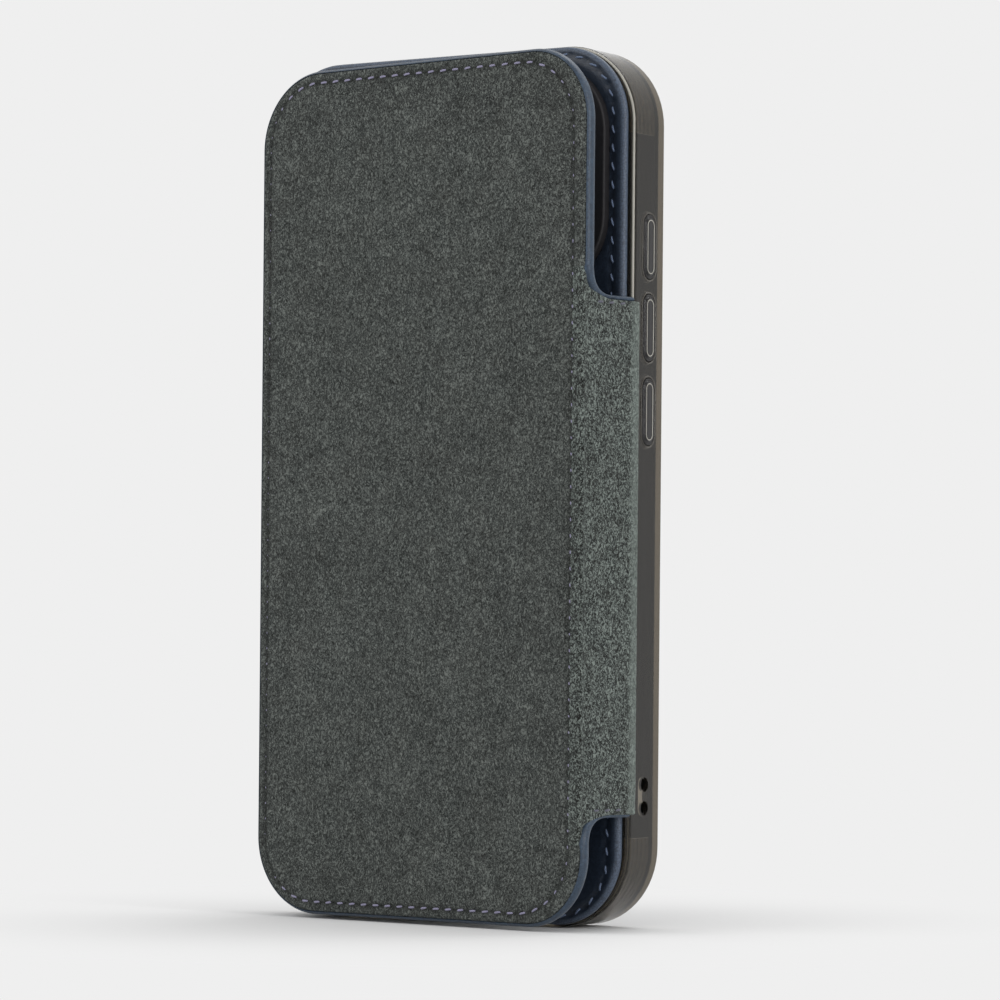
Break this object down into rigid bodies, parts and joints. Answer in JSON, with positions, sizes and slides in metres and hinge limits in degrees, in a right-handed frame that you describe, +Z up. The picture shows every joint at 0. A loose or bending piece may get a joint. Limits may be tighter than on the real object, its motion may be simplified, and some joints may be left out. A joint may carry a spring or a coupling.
{
  "type": "phone wallet case",
  "caption": "Folio phone case: clear moulded tray with a navy leather back panel and a suede-lined leather cover flap folded right round behind it on a short spine.",
  "frame": {"origin": "middle of the tray's flat bottom face, on which the case stands", "axes": "+Z up along the phone towards its camera end, +Y out of the screen side, +X towards the hinged long edge"},
  "size_m": [0.0773, 0.0252, 0.1539],
  "materials": {
    "clear_shell": "smoky clear moulding, polished",
    "frosted_lip": "frosted clear moulding, warm tint",
    "cushion": "ribbed clear soft moulding",
    "button_cover": "clear soft moulding",
    "liner": "matt charcoal",
    "lining": "fine microfibre",
    "surround": "satin navy",
    "board": "plain stiffener board",
    "magnet": "nickel plated",
    "navy_leather": "fine grained, satin",
    "suede": "napped suede, dark grey green",
    "panel_thread": "waxed blue grey thread",
    "flap_thread": "waxed pale lilac thread"
  },
  "bodies": {
    "case": {"tray_shell": "clear_shell", "front_lip": "frosted_lip", "corner_cushion_top_left": "cushion", "corner_cushion_top_right": "cushion", "corner_cushion_bottom_left": "cushion", "corner_cushion_bottom_right": "cushion", "side_liner_left": "liner", "side_liner_right": "liner", "inner_lining": "lining", "camera_surround": "surround", "back_board": "board", "magnet_ring": "magnet", "alignment_magnet": "magnet", "back_leather": "navy_leather", "back_stitching": "panel_thread"},
    "action_button_cover": {"action_button": "button_cover"},
    "volume_up_button_cover": {"volume_up_button": "button_cover"},
    "volume_down_button_cover": {"volume_down_button": "button_cover"},
    "power_button_cover": {"power_button": "button_cover"},
    "camera_control_button_cover": {"camera_control_button": "button_cover"},
    "spine": {"spine_leather": "navy_leather", "spine_suede": "suede", "spine_stitching": "flap_thread"},
    "flap": {"flap_leather": "navy_leather", "flap_board": "board", "flap_suede": "suede", "flap_stitching": "flap_thread"}
  },
  "joints": [
    {"name": "spine_hinge", "type": "hinge", "parent": "case", "child": "spine", "pos_m": [0.03887, -0.00602, 0.064], "axis": [0, 0, 1], "range_deg": [0, 191.5]},
    {"name": "flap_hinge", "type": "hinge", "parent": "spine", "child": "flap", "pos_m": [0.0363, -0.01867, 0.064], "axis": [0, 0, 1], "range_deg": [0, 175.6]},
    {"name": "action_button_press", "type": "slide", "parent": "case", "child": "action_button_cover", "axis": [-1, 0, 0], "range_m": [0, 0.0003], "stiffness_N_per_m": 150},
    {"name": "volume_up_button_press", "type": "slide", "parent": "case", "child": "volume_up_button_cover", "axis": [-1, 0, 0], "range_m": [0, 0.0003], "stiffness_N_per_m": 150},
    {"name": "volume_down_button_press", "type": "slide", "parent": "case", "child": "volume_down_button_cover", "axis": [-1, 0, 0], "range_m": [0, 0.0003], "stiffness_N_per_m": 150},
    {"name": "power_button_press", "type": "slide", "parent": "case", "child": "power_button_cover", "axis": [1, 0, 0], "range_m": [0, 0.0003], "stiffness_N_per_m": 150},
    {"name": "camera_control_button_press", "type": "slide", "parent": "case", "child": "camera_control_button_cover", "axis": [1, 0, 0], "range_m": [0, 0.0003], "stiffness_N_per_m": 150}
  ]
}
